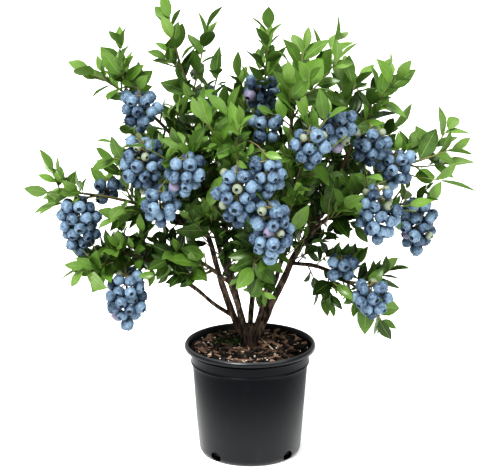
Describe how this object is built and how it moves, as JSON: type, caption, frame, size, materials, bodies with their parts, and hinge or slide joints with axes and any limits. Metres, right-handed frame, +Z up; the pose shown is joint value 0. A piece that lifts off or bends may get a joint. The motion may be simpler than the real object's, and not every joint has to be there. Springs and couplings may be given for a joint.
{
  "type": "potted blueberry bush",
  "caption": "Fruiting highbush blueberry: a clump of woody stems with leafy sprays and hanging bunches of berries, in a round black nursery pot.",
  "frame": {"origin": "centre of the pot's flat underside, on the pot's axis", "axes": "+Z up along the pot's axis, -Y towards the front of the plant, +X to its right"},
  "size_m": [0.656, 0.5027, 0.6599],
  "materials": {
    "pot_plastic": "satin black moulded plastic",
    "potting_mix": "dark moist bark and peat",
    "bark": "rough dark brown bark",
    "foliage": "leafy sprays with blue bloomed berries"
  },
  "bodies": {
    "root": {"bough_back": "bark", "bough_back_left": "bark", "bough_back_low": "bark", "bough_back_right": "bark", "bough_front": "bark", "bough_front_low": "bark", "bough_left_inner": "bark", "bough_left_low": "bark", "bough_left_reach": "bark", "bough_left_upper": "bark", "bough_right_front": "bark", "bough_right_low": "bark", "bough_right_low_reach": "bark", "bough_right_upper": "bark", "bough_top_right": "bark", "pot": "pot_plastic", "soil": "potting_mix", "spray_back": "foliage", "spray_back_left": "foliage", "spray_back_low": "foliage", "spray_back_right": "foliage", "spray_back_right_top": "foliage", "spray_front": "foliage", "spray_front_low": "foliage", "spray_left_front": "foliage", "spray_left_inner": "foliage", "spray_left_low": "foliage", "spray_left_reach": "foliage", "spray_left_shoulder": "foliage", "spray_left_upper": "foliage", "spray_right_front": "foliage", "spray_right_low": "foliage", "spray_right_low_reach": "foliage", "spray_right_reach": "foliage", "spray_right_shoulder": "foliage", "spray_right_upper": "foliage", "spray_top": "foliage", "spray_top_left": "foliage", "spray_top_right": "foliage", "stem_back": "bark", "stem_back_right": "bark", "stem_base": "bark", "stem_front": "bark", "stem_front_left": "bark", "stem_left": "bark", "stem_left_back": "bark", "stem_right": "bark"}
  },
  "joints": []
}
